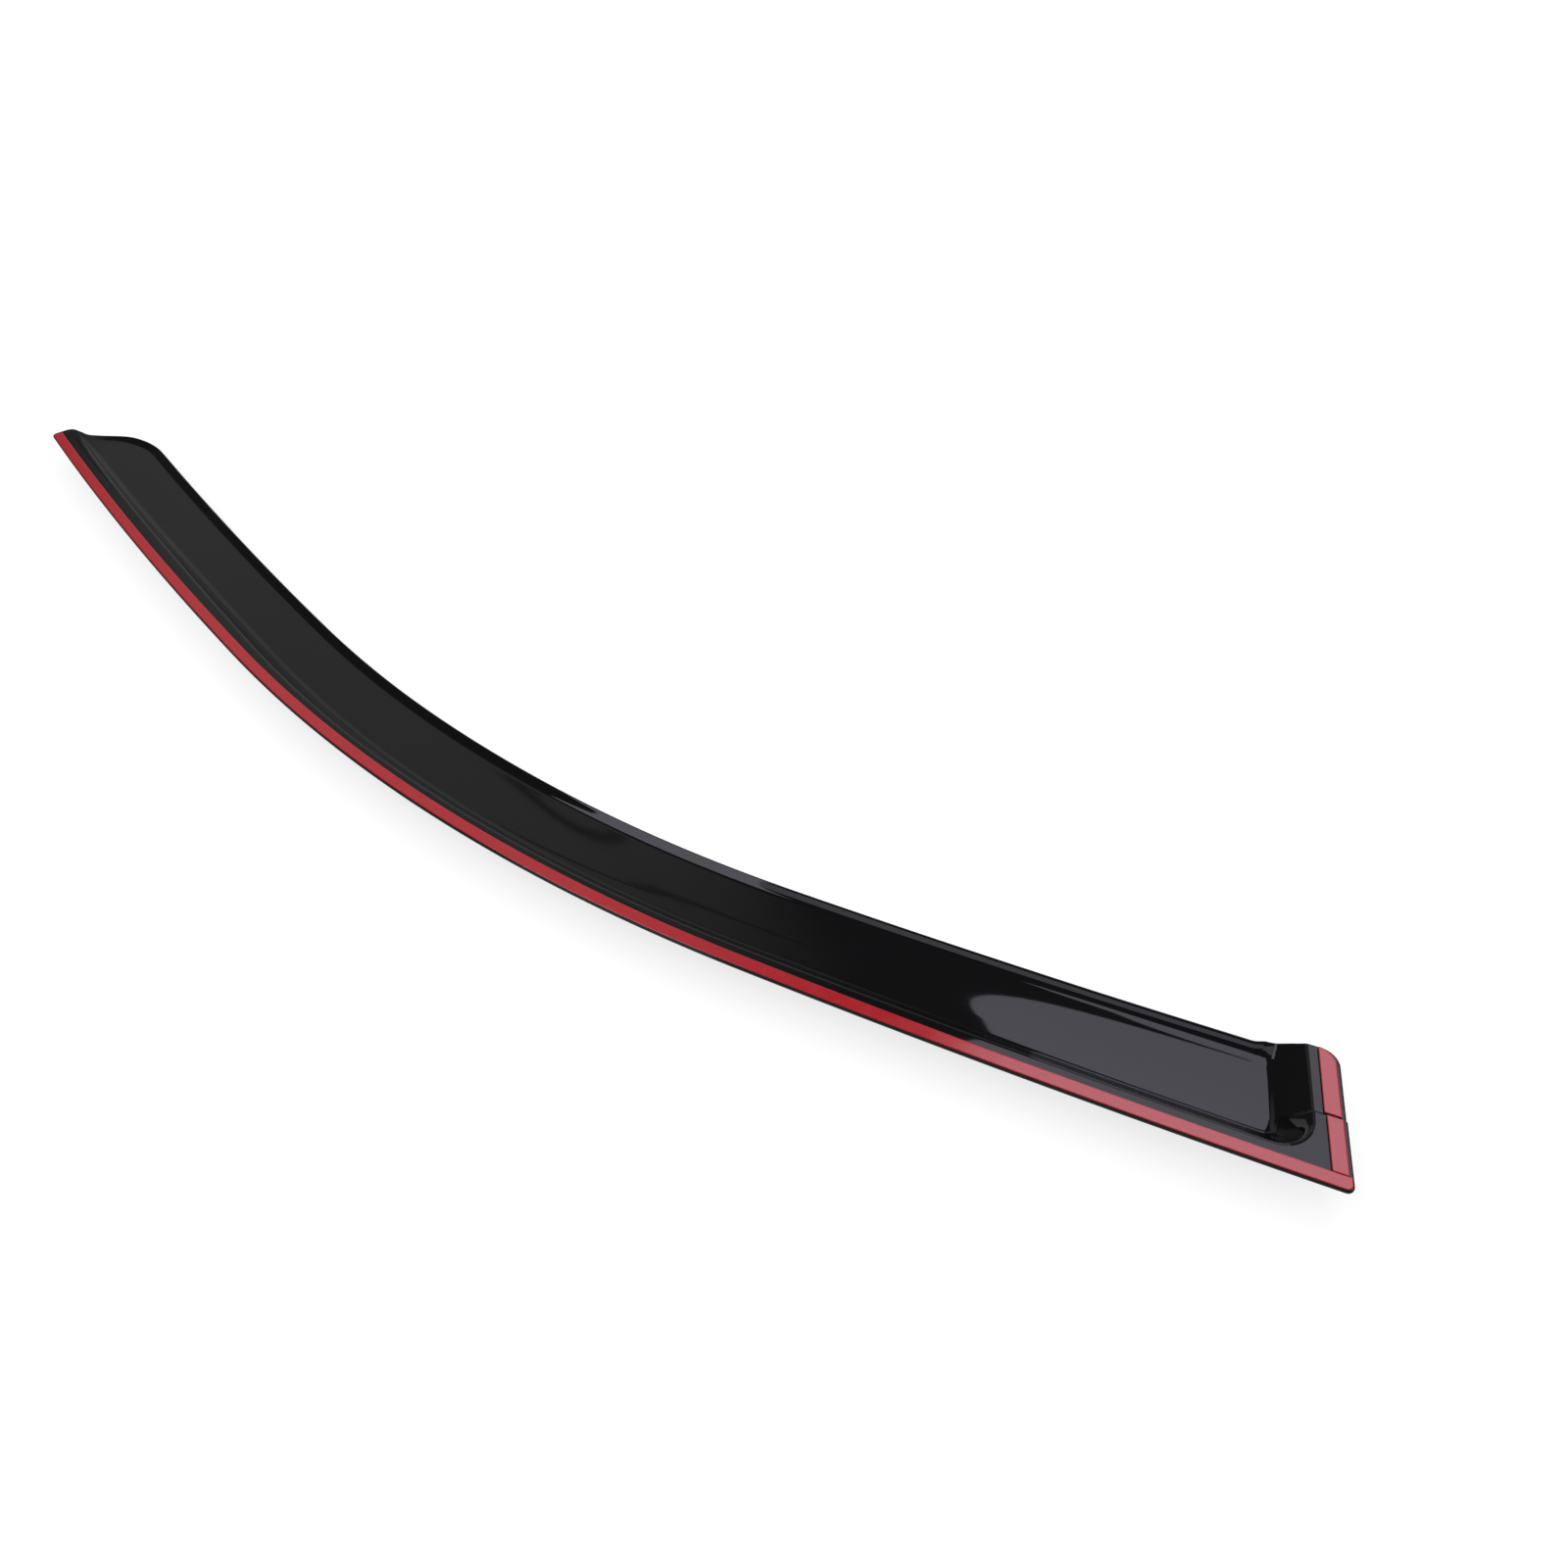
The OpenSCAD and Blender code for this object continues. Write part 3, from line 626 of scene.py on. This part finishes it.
def strip(name, form, outline, height, thick, drop, rings):
    """A tape on its outline, from height up by thick, with its top edges rolled down by drop."""
    tape = form.tape
    whole, wide, radii, to_sheet, seat = outline
    fine = [tape.film_roll * k / ROLL_STEPS for k in range(ROLL_STEPS + 1)]
    round_ones = [r for r in radii if r > LARGE_CORNER]
    bends = sorted({*fine, *(r * k / CORNER_STEPS for r in round_ones for k in range(CORNER_STEPS + 1))})
    a_places = strip_places(whole, bends, TAPE_STEP)
    b_places = strip_places(wide, [x for x in bends if x < HALF_REACH * wide], CROSS_STEP)
    top = np.zeros((len(a_places), len(b_places), 3))
    for i, a in enumerate(a_places):
        for j, b in enumerate(b_places):
            edge = min(a, whole - a, b, wide - b)
            a2, b2 = a, b
            for x, a_way, y, b_way, r in (
                    (a, 1, b, 1, radii[0]), (whole - a, -1, b, 1, radii[1]),
                    (whole - a, -1, wide - b, -1, radii[2]), (a, 1, wide - b, -1, radii[3])):
                if x < r and y < r:
                    c, d = 1 - x / r, 1 - y / r
                    pulled_c, pulled_d = to_disc(c, d)
                    a2, b2 = a + a_way * r * (c - pulled_c), b + b_way * r * (d - pulled_d)
                    edge = min(edge, r * (1 - math.hypot(pulled_c, pulled_d)))
            sink = drop * max(0, 1 - edge / tape.film_roll) ** 2
            p = to_sheet(a2, b2)
            top[i, j] = (p.x, p.y, form.flange_z - seat + height + thick - sink)
    top -= form.home
    low = top.copy()
    low[:, :, 2] = form.flange_z - seat + height
    normal = np.zeros_like(top)
    normal[:, :, 2] = 1
    return closed_sheet(name, top, low, normal, rings)


class DEFLECTOR_OT_foam(bpy.types.Operator):
    """Lays the three foam tapes, with cut sides that hollow in a little"""
    bl_idname = "deflector.foam"
    bl_label = "Foam Tapes"

    def execute(self, context):
        form = SheetForm(context.scene)
        tape = form.tape
        finish = foam(context.scene.deflector_colours)
        rings = [(-tape.foam_tuck * math.sin(math.pi * k / SIDE_RINGS), k / SIDE_RINGS)
                 for k in range(1, SIDE_RINGS + 1)]
        for place, outline in tape_outlines(form, tape).items():
            block = strip(place + "_block", form, outline, 0.0, tape.foam_t, 0.0, rings)
            bpy.ops.object.shade_smooth_by_angle(angle=FOAM_SMOOTH)
            finished(block, place + "_foam", finish)
        return {'FINISHED'}


class DEFLECTOR_OT_film(bpy.types.Operator):
    """Lays the three red peel films, with cut edges that roll down over the foam"""
    bl_idname = "deflector.film"
    bl_label = "Peel Films"

    def execute(self, context):
        form = SheetForm(context.scene)
        tape = form.tape
        finish = film(context.scene.deflector_colours)
        for place, outline in tape_outlines(form, tape).items():
            skin = strip(place + "_film", form, outline, tape.foam_t, tape.liner_t,
                         tape.film_drop, [(0.0, 1.0)])
            bpy.ops.object.shade_smooth_by_angle(angle=FILM_SMOOTH)
            finished(skin, place + "_liner", finish)
        return {'FINISHED'}


def group_socket(group, name, side, kind='NodeSocketFloat', value=None):
    socket = group.interface.new_socket(name=name, in_out=side, socket_type=kind)
    if value is not None:
        socket.default_value = value


def fine_surface():
    """Shared node group: a mask of fine specks and a soft uneven height over Object coordinates."""
    group = bpy.data.node_groups.get("Fine Surface")
    if group:
        return group
    group = bpy.data.node_groups.new("Fine Surface", 'ShaderNodeTree')
    group_socket(group, "Speck Scale", 'INPUT', value=900.0)
    group_socket(group, "Wave Scale", 'INPUT', value=30.0)
    group_socket(group, "Specks", 'OUTPUT')
    group_socket(group, "Waves", 'OUTPUT')
    nodes, links = group.nodes, group.links
    enter, leave = nodes.new('NodeGroupInput'), nodes.new('NodeGroupOutput')
    place = nodes.new('ShaderNodeTexCoord')
    for sizes, output, detail in (("Speck Scale", "Specks", 2.0), ("Wave Scale", "Waves", 1.0)):
        noise = nodes.new('ShaderNodeTexNoise')
        noise.inputs["Detail"].default_value = detail
        links.new(place.outputs["Object"], noise.inputs["Vector"])
        links.new(enter.outputs[sizes], noise.inputs["Scale"])
        links.new(noise.outputs["Fac"], leave.inputs[output])
    return group


def new_finish(name):
    """A material with its shader, its Fine Surface group and the links all in reach."""
    material = bpy.data.materials.new(name)
    material.use_nodes = True
    nodes, links = material.node_tree.nodes, material.node_tree.links
    surface = nodes.new('ShaderNodeGroup')
    surface.node_tree = fine_surface()
    return material, nodes, links, nodes["Principled BSDF"], surface


def ranged(nodes, links, source, low, high):
    """A value that runs from low to high as the source runs over its middle range."""
    node = nodes.new('ShaderNodeMapRange')
    node.inputs["From Min"].default_value = NOISE_LOW
    node.inputs["From Max"].default_value = NOISE_HIGH
    node.inputs["To Min"].default_value = low
    node.inputs["To Max"].default_value = high
    links.new(source, node.inputs["Value"])
    return node.outputs["Result"]


def tinted(nodes, links, source, first, second):
    """A colour between first and second, as the source says."""
    node = nodes.new('ShaderNodeMix')
    node.data_type = 'RGBA'
    node.inputs["A"].default_value = (*first, 1)
    node.inputs["B"].default_value = (*second, 1)
    links.new(source, node.inputs["Factor"])
    return node.outputs["Result"]


def raised(nodes, links, shader, height, distance, strength):
    """Gives the shader the fine relief of a height."""
    bump = nodes.new('ShaderNodeBump')
    bump.inputs["Distance"].default_value = distance
    bump.inputs["Strength"].default_value = strength
    links.new(height, bump.inputs["Height"])
    links.new(bump.outputs["Normal"], shader.inputs["Normal"])


def acrylic(colours):
    """Polished black acrylic with the slight unevenness of a formed sheet."""
    material, nodes, links, shader, surface = new_finish("gloss_black_acrylic")
    surface.inputs["Speck Scale"].default_value = 650.0
    surface.inputs["Wave Scale"].default_value = 22.0
    dark = tuple(0.8 * c for c in colours.shell)
    specks, gloss = surface.outputs["Specks"], colours.shell_gloss
    links.new(tinted(nodes, links, specks, dark, colours.shell), shader.inputs["Base Color"])
    links.new(ranged(nodes, links, specks, gloss * 0.85, gloss * 1.15), shader.inputs["Roughness"])
    shader.inputs["IOR"].default_value = ACRYLIC_IOR
    raised(nodes, links, shader, surface.outputs["Waves"], 0.02 * MM, 0.3)
    return material


def film(colours):
    """Red peel-off film with a fine weave of marks."""
    material, nodes, links, shader, surface = new_finish("red_peel_film")
    surface.inputs["Speck Scale"].default_value = 1100.0
    surface.inputs["Wave Scale"].default_value = 160.0
    shade = ranged(nodes, links, surface.outputs["Specks"], 0.0, 1.0)
    links.new(tinted(nodes, links, shade, colours.film_deep, colours.film), shader.inputs["Base Color"])
    waves, gloss = surface.outputs["Waves"], colours.film_gloss
    links.new(ranged(nodes, links, waves, gloss * 0.8, gloss * 1.2), shader.inputs["Roughness"])
    shader.inputs["IOR"].default_value = FILM_IOR
    raised(nodes, links, shader, surface.outputs["Specks"], 0.01 * MM, 0.35)
    return material


def foam(colours):
    """Dark closed-cell foam with open cells on its cut side."""
    material, nodes, links, shader, surface = new_finish("dark_foam")
    surface.inputs["Speck Scale"].default_value = 2500.0
    cells = nodes.new('ShaderNodeTexVoronoi')
    cells.inputs["Scale"].default_value = 3000.0
    place = nodes.new('ShaderNodeTexCoord')
    links.new(place.outputs["Object"], cells.inputs["Vector"])
    dark = tuple(0.5 * c for c in colours.foam)
    shade = tinted(nodes, links, surface.outputs["Specks"], dark, colours.foam)
    links.new(shade, shader.inputs["Base Color"])
    shader.inputs["Roughness"].default_value = 0.9
    raised(nodes, links, shader, cells.outputs["Distance"], 0.1 * MM, 0.6)
    return material


def softbox(name, middle, aim, size, shape, brightness, tint):
    """An area light with the given brightness as a reflection shows it, unseen by the camera."""
    lamp = bpy.data.lights.new(name, 'AREA')
    lamp.shape = shape
    lamp.color = tint
    lamp.size, lamp.size_y = size
    area = size[0] * size[1] * (math.pi / 4 if shape == 'ELLIPSE' else 1)
    lamp.energy = brightness * math.pi * area
    box = bpy.data.objects.new(name, lamp)
    box.location = middle
    box.rotation_euler = (Vector(aim) - Vector(middle)).to_track_quat('-Z', 'Y').to_euler()
    box.visible_camera = False
    bpy.context.scene.collection.objects.link(box)


class DEFLECTOR_OT_stage(bpy.types.Operator):
    """Sets up the pale floor, the soft studio light and the camera of the photograph"""
    bl_idname = "deflector.stage"
    bl_label = "Stage"

    def execute(self, context):
        studio = context.scene.deflector_studio
        self.floor()
        self.room(studio)
        for name, (middle, aim, size, shape, setting) in SOFTBOXES.items():
            softbox(name, middle, aim, size, shape, getattr(studio, setting), studio.tint)
        self.camera(context)
        return {'FINISHED'}

    @staticmethod
    def floor():
        deselect()
        bpy.ops.mesh.primitive_plane_add(size=FLOOR_SIZE, location=(0, 0, -FLOOR_GAP))
        floor = bpy.context.object
        floor.name = floor.data.name = "studio_floor"
        material = bpy.data.materials.new("pale_floor")
        material.use_nodes = True
        nodes, links = material.node_tree.nodes, material.node_tree.links
        shader = nodes["Principled BSDF"]
        shader.inputs["Base Color"].default_value = (*[FLOOR_GREY] * 3, 1)
        shader.inputs["Roughness"].default_value = 0.9
        shader.inputs["Specular IOR Level"].default_value = 0.0
        seen = nodes.new('ShaderNodeLightPath')
        shown = None
        for ray, lifted in (("Is Camera Ray", FLOOR_LIFT), ("Is Transmission Ray", FLOOR_LIFT),
                            ("Is Glossy Ray", FLOOR_SHINE)):
            lift = nodes.new('ShaderNodeMath')
            lift.operation = 'MULTIPLY_ADD'
            lift.inputs[1].default_value = lifted
            lift.inputs[2].default_value = 0.0
            links.new(seen.outputs[ray], lift.inputs[0])
            if shown:
                links.new(shown, lift.inputs[2])
            shown = lift.outputs[0]
        shader.inputs["Emission Color"].default_value = (1, 1, 1, 1)
        links.new(shown, shader.inputs["Emission Strength"])
        floor.data.materials.append(material)

    @staticmethod
    def room(studio):
        """White for the camera, a dark studio with a lit ceiling and wall in reflections, and an
        even fill for matt surfaces."""
        world = bpy.data.worlds.new("studio_room")
        bpy.context.scene.world = world
        world.use_nodes = True
        nodes, links = world.node_tree.nodes, world.node_tree.links
        air = nodes["Background"]
        air.inputs["Color"].default_value = (1, 1, 1, 1)
        way = nodes.new('ShaderNodeTexCoord').outputs["Generated"]

        def math_node(operation, first, second):
            node = nodes.new('ShaderNodeMath')
            node.operation = operation
            for value, socket in ((first, node.inputs[0]), (second, node.inputs[1])):
                if isinstance(value, float):
                    socket.default_value = value
                else:
                    links.new(value, socket)
            return node.outputs[0]

        def towards(direction):
            node = nodes.new('ShaderNodeVectorMath')
            node.operation = 'DOT_PRODUCT'
            node.inputs[1].default_value = direction
            links.new(way, node.inputs[0])
            return node.outputs["Value"]

        def soft_step(value, start, end, low, high):
            node = nodes.new('ShaderNodeMapRange')
            node.interpolation_type = 'SMOOTHSTEP'
            limits = {"From Min": start, "From Max": end, "To Min": low, "To Max": high}
            for name, number in limits.items():
                node.inputs[name].default_value = number
            links.new(value, node.inputs["Value"])
            return node.outputs["Result"]

        def lit_patch(turn, rise, wide, brightness):
            """A soft bright patch round one way, given by its turn from +Y towards +X and its rise."""
            turn, rise = math.radians(turn), math.radians(rise)
            middle = (math.sin(turn) * math.cos(rise), math.cos(turn) * math.cos(rise), math.sin(rise))
            return soft_step(towards(middle), math.cos(math.radians(wide)), PATCH_CORE, 0.0, brightness)

        beam = soft_step(math_node('ABSOLUTE', towards(CEILING_BEAM), 0.0), *BEAM_EDGE, 0.0, 1.0)
        ceiling = math_node('MULTIPLY', lit_patch(*CEILING_PATCH, studio.ceiling), beam)
        shine = math_node('ADD', ceiling, lit_patch(*WALL_PATCH, studio.wall))
        shine = math_node('ADD', shine, studio.room)
        seen = nodes.new('ShaderNodeLightPath')
        inner = nodes.new('ShaderNodeMix')
        inner.inputs["A"].default_value = studio.fill
        links.new(shine, inner.inputs["B"])
        links.new(seen.outputs["Is Glossy Ray"], inner.inputs["Factor"])
        outer = nodes.new('ShaderNodeMix')
        outer.inputs["B"].default_value = 1.0
        links.new(seen.outputs["Is Camera Ray"], outer.inputs["Factor"])
        links.new(inner.outputs["Result"], outer.inputs["A"])
        links.new(outer.outputs["Result"], air.inputs["Strength"])

    @staticmethod
    def camera(context):
        lens = bpy.data.cameras.new("photo_camera")
        lens.sensor_width = CAMERA_SENSOR
        lens.lens = CAMERA_LENS
        lens.clip_start = 0.01
        view = bpy.data.objects.new("photo_camera", lens)
        view.location = CAMERA_PLACE
        view.rotation_euler = (math.radians(CAMERA_TILT), 0.0, math.radians(CAMERA_TURN))
        context.scene.collection.objects.link(view)
        context.scene.camera = view
        context.scene.view_settings.view_transform = 'Standard'


class DEFLECTOR_PT_sidebar(bpy.types.Panel):
    bl_label = "Rain Deflector"
    bl_idname = "DEFLECTOR_PT_sidebar"
    bl_space_type = 'VIEW_3D'
    bl_region_type = 'UI'
    bl_category = "Deflector"

    def draw(self, context):
        layout = self.layout
        for operator in PIECES:
            layout.operator(operator.bl_idname)
        for group in (context.scene.deflector_shell, context.scene.deflector_tape,
                      context.scene.deflector_colours, context.scene.deflector_studio):
            box = layout.box()
            for name in group.__annotations__:
                box.prop(group, name)


GROUPS = {"deflector_shell": DeflectorShellSizes, "deflector_tape": DeflectorTapeSizes,
          "deflector_colours": DeflectorColours, "deflector_studio": DeflectorStudio}
PIECES = (DEFLECTOR_OT_shell, DEFLECTOR_OT_foam, DEFLECTOR_OT_film, DEFLECTOR_OT_stage)


def register():
    for group in GROUPS.values():
        bpy.utils.register_class(group)
    for operator in PIECES:
        bpy.utils.register_class(operator)
    bpy.utils.register_class(DEFLECTOR_PT_sidebar)
    for name, group in GROUPS.items():
        setattr(bpy.types.Scene, name, PointerProperty(type=group))


def unregister():
    for name in GROUPS:
        delattr(bpy.types.Scene, name)
    bpy.utils.unregister_class(DEFLECTOR_PT_sidebar)
    for operator in reversed(PIECES):
        bpy.utils.unregister_class(operator)
    for group in reversed(GROUPS.values()):
        bpy.utils.unregister_class(group)


def main():
    register()
    bpy.ops.deflector.shell()
    bpy.ops.deflector.foam()
    bpy.ops.deflector.film()
    bpy.ops.deflector.stage()


if __name__ == "__main__":
    main()
